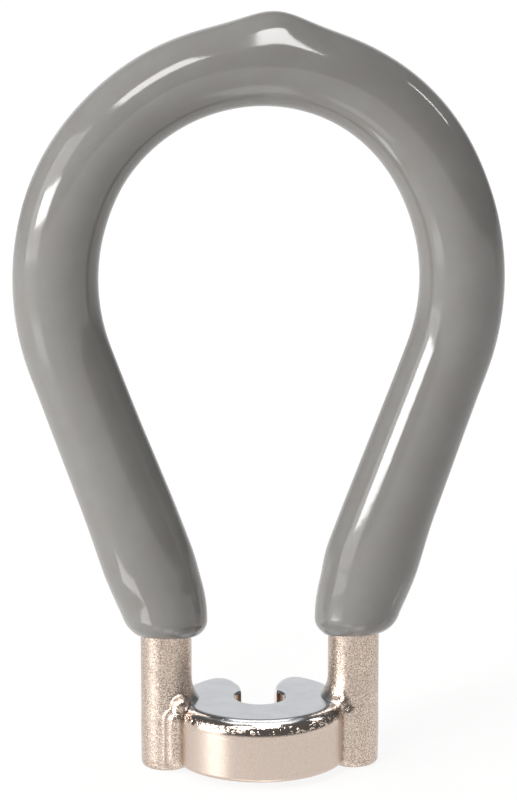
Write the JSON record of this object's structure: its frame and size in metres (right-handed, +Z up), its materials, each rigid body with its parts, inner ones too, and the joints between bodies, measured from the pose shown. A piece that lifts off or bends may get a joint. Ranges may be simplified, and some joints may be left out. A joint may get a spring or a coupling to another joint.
{
  "type": "spoke wrench",
  "caption": "Wire-loop spoke wrench: a bent steel rod with a slotted round head brazed between its legs and a dipped vinyl sleeve over the loop.",
  "frame": {"origin": "on the plane that the rod's two cut ends stand on, midway between the legs and on their common plane", "axes": "+Z runs up the tool from the head to the crown of the loop, +X runs from the left leg to the right leg, and +Y is the way the jaw slot opens, away from the picture's camera"},
  "size_m": [0.0448, 0.0154, 0.0706],
  "materials": {
    "plated_rod": "satin nickel plating with a fine pebbled grain over drawn steel rod",
    "plated_head": "satin nickel plating over a machined and hardened steel head",
    "plated_braze": "satin nickel plating over braze metal, smooth and slightly wavy",
    "grey_vinyl": "glossy mid grey dipped vinyl with faint mottling"
  },
  "bodies": {
    "root": {"handle_wire": "plated_rod", "wrench_head": "plated_head", "left_braze": "plated_braze", "right_braze": "plated_braze", "vinyl_sleeve": "grey_vinyl"}
  },
  "joints": []
}
